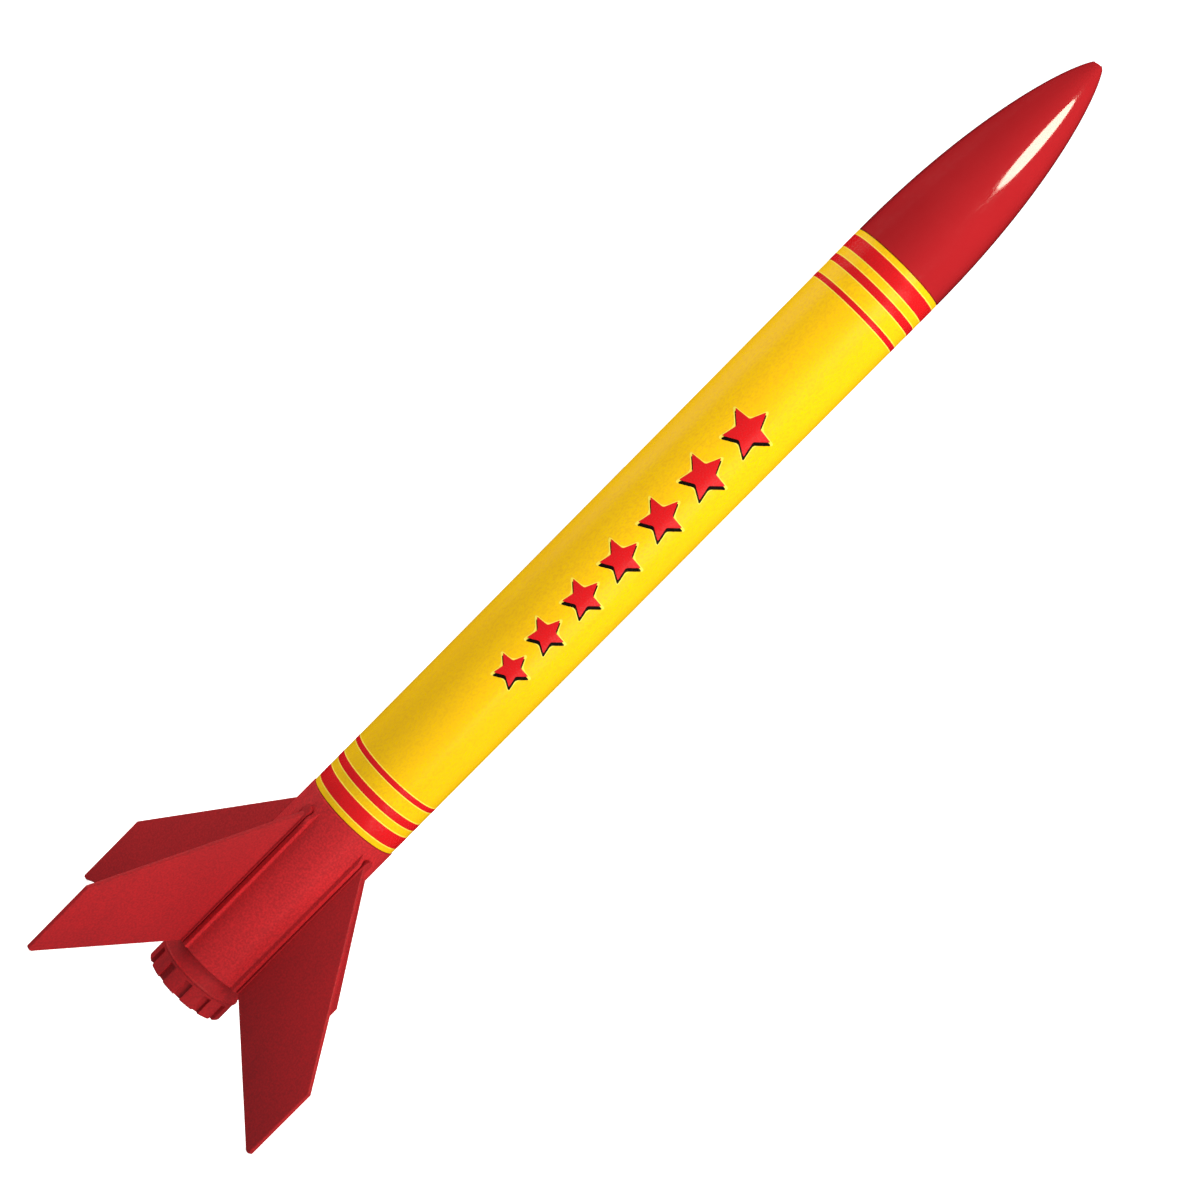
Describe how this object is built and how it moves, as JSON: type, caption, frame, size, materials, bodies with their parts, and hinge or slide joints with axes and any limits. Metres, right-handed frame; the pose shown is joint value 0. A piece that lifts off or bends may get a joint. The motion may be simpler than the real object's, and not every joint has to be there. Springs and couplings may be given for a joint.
{
  "type": "model rocket",
  "caption": "Model rocket with a pull-off hollow nose, paper tube, slide-in swept fins, twist-lock tail ring, motor mount and packed parachute.",
  "frame": {"origin": "under the rocket's axis, on the plane of the four fin tips that it stands on", "axes": "+Z along the axis to the nose tip, -Y the front face midway between two fins, +Y the launch lug's side"},
  "size_m": [0.0964, 0.0964, 0.4331],
  "materials": {
    "nose_red": "polished moulded plastic",
    "tube_yellow": "spiral-wound paper tube with a gloss coated face",
    "moulded_red": "satin moulded plastic",
    "plug_red": "satin moulded plastic",
    "kraft_tube": "bare kraft paper tube",
    "fibre_ring": "pressed paper fibre",
    "lug_paper": "smooth white paper tube",
    "anchor_paper": "folded and glued paper",
    "elastic_white": "braided elastic",
    "canopy_film": "thin soft plastic film",
    "line_white": "twisted thread",
    "swivel_brass": "polished",
    "snap_steel": "bright spring wire",
    "printed_red": "gloss printed band and graphic",
    "printed_black": "gloss printed shadow of the graphic"
  },
  "bodies": {
    "airframe": {"body_tube": "tube_yellow", "centring_ring": "fibre_ring", "cord_anchor": "anchor_paper", "fin_back_left": "moulded_red", "fin_back_right": "moulded_red", "fin_can": "moulded_red", "fin_front_left": "moulded_red", "fin_front_right": "moulded_red", "launch_lug": "lug_paper", "motor_tube": "kraft_tube", "parachute_canopy": "canopy_film", "shock_cord": "elastic_white", "shroud_line_1": "line_white", "shroud_line_2": "line_white", "shroud_line_3": "line_white", "snap_hook": "snap_steel", "swivel": "swivel_brass", "thrust_ring": "fibre_ring"},
    "nose": {"nose_cone": "nose_red", "nose_plug": "plug_red"},
    "lock_ring": {"tail_ring": "moulded_red"}
  },
  "joints": [
    {"name": "nose_pull", "type": "slide", "parent": "airframe", "child": "nose", "axis": [0, 0, 1], "range_m": [0, 0.06], "deforming": ["shock_cord"]},
    {"name": "ring_twist", "type": "hinge", "parent": "airframe", "child": "lock_ring", "pos_m": [0, 0, 0.0175], "axis": [0, 0, 1], "range_deg": [0, 30]}
  ]
}
